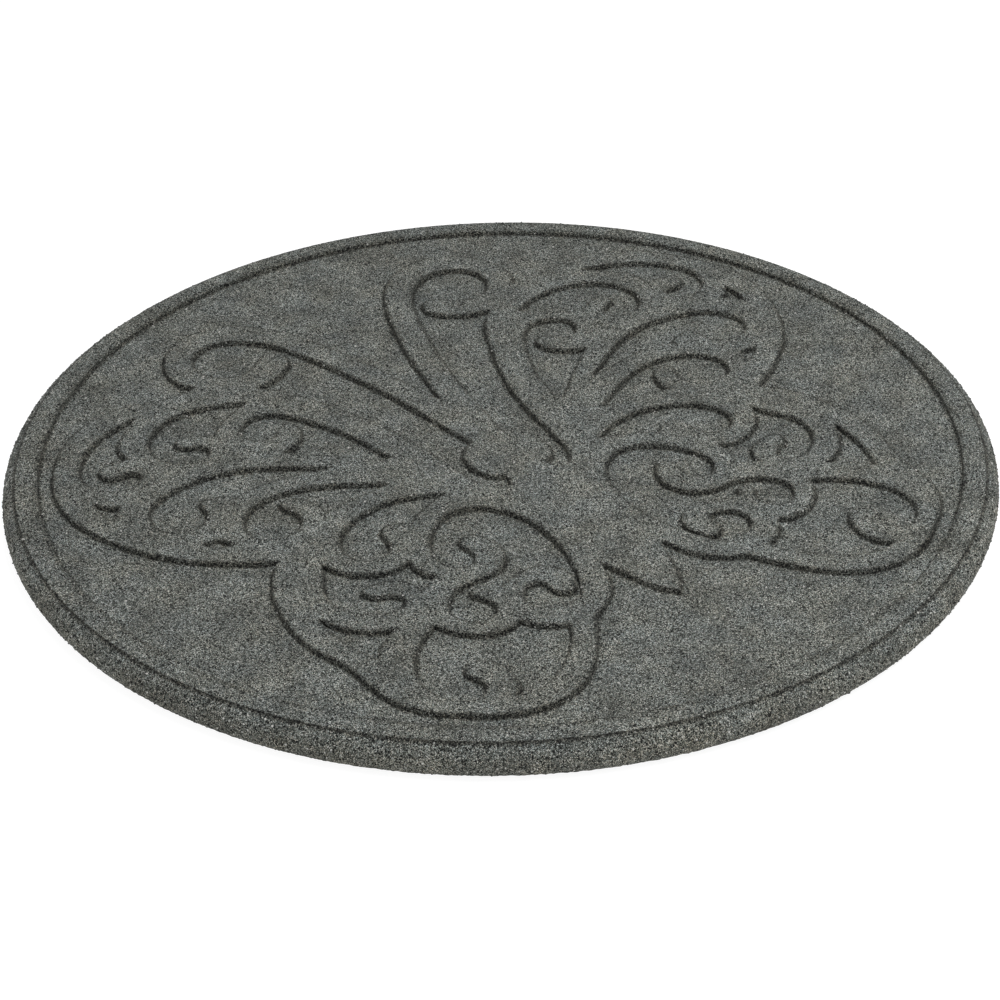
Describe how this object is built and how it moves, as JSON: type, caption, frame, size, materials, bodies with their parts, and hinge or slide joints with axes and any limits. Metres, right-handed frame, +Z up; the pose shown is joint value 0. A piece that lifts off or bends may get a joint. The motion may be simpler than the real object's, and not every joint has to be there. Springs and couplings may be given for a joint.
{
  "type": "garden stepping stone",
  "caption": "Round garden stepping stone of bound rubber crumb with a raised scrollwork butterfly inside a low rounded rim.",
  "frame": {"origin": "middle of the flat underside", "axes": "+Z up through the decorated top face; +Y towards the butterfly's head; +X towards its right-hand wing"},
  "size_m": [0.4571, 0.4572, 0.0176],
  "materials": {
    "rubber_crumb": "matt, coarse bound granules, speckled dark grey"
  },
  "bodies": {
    "root": {"stepping_stone": "rubber_crumb"}
  },
  "joints": []
}
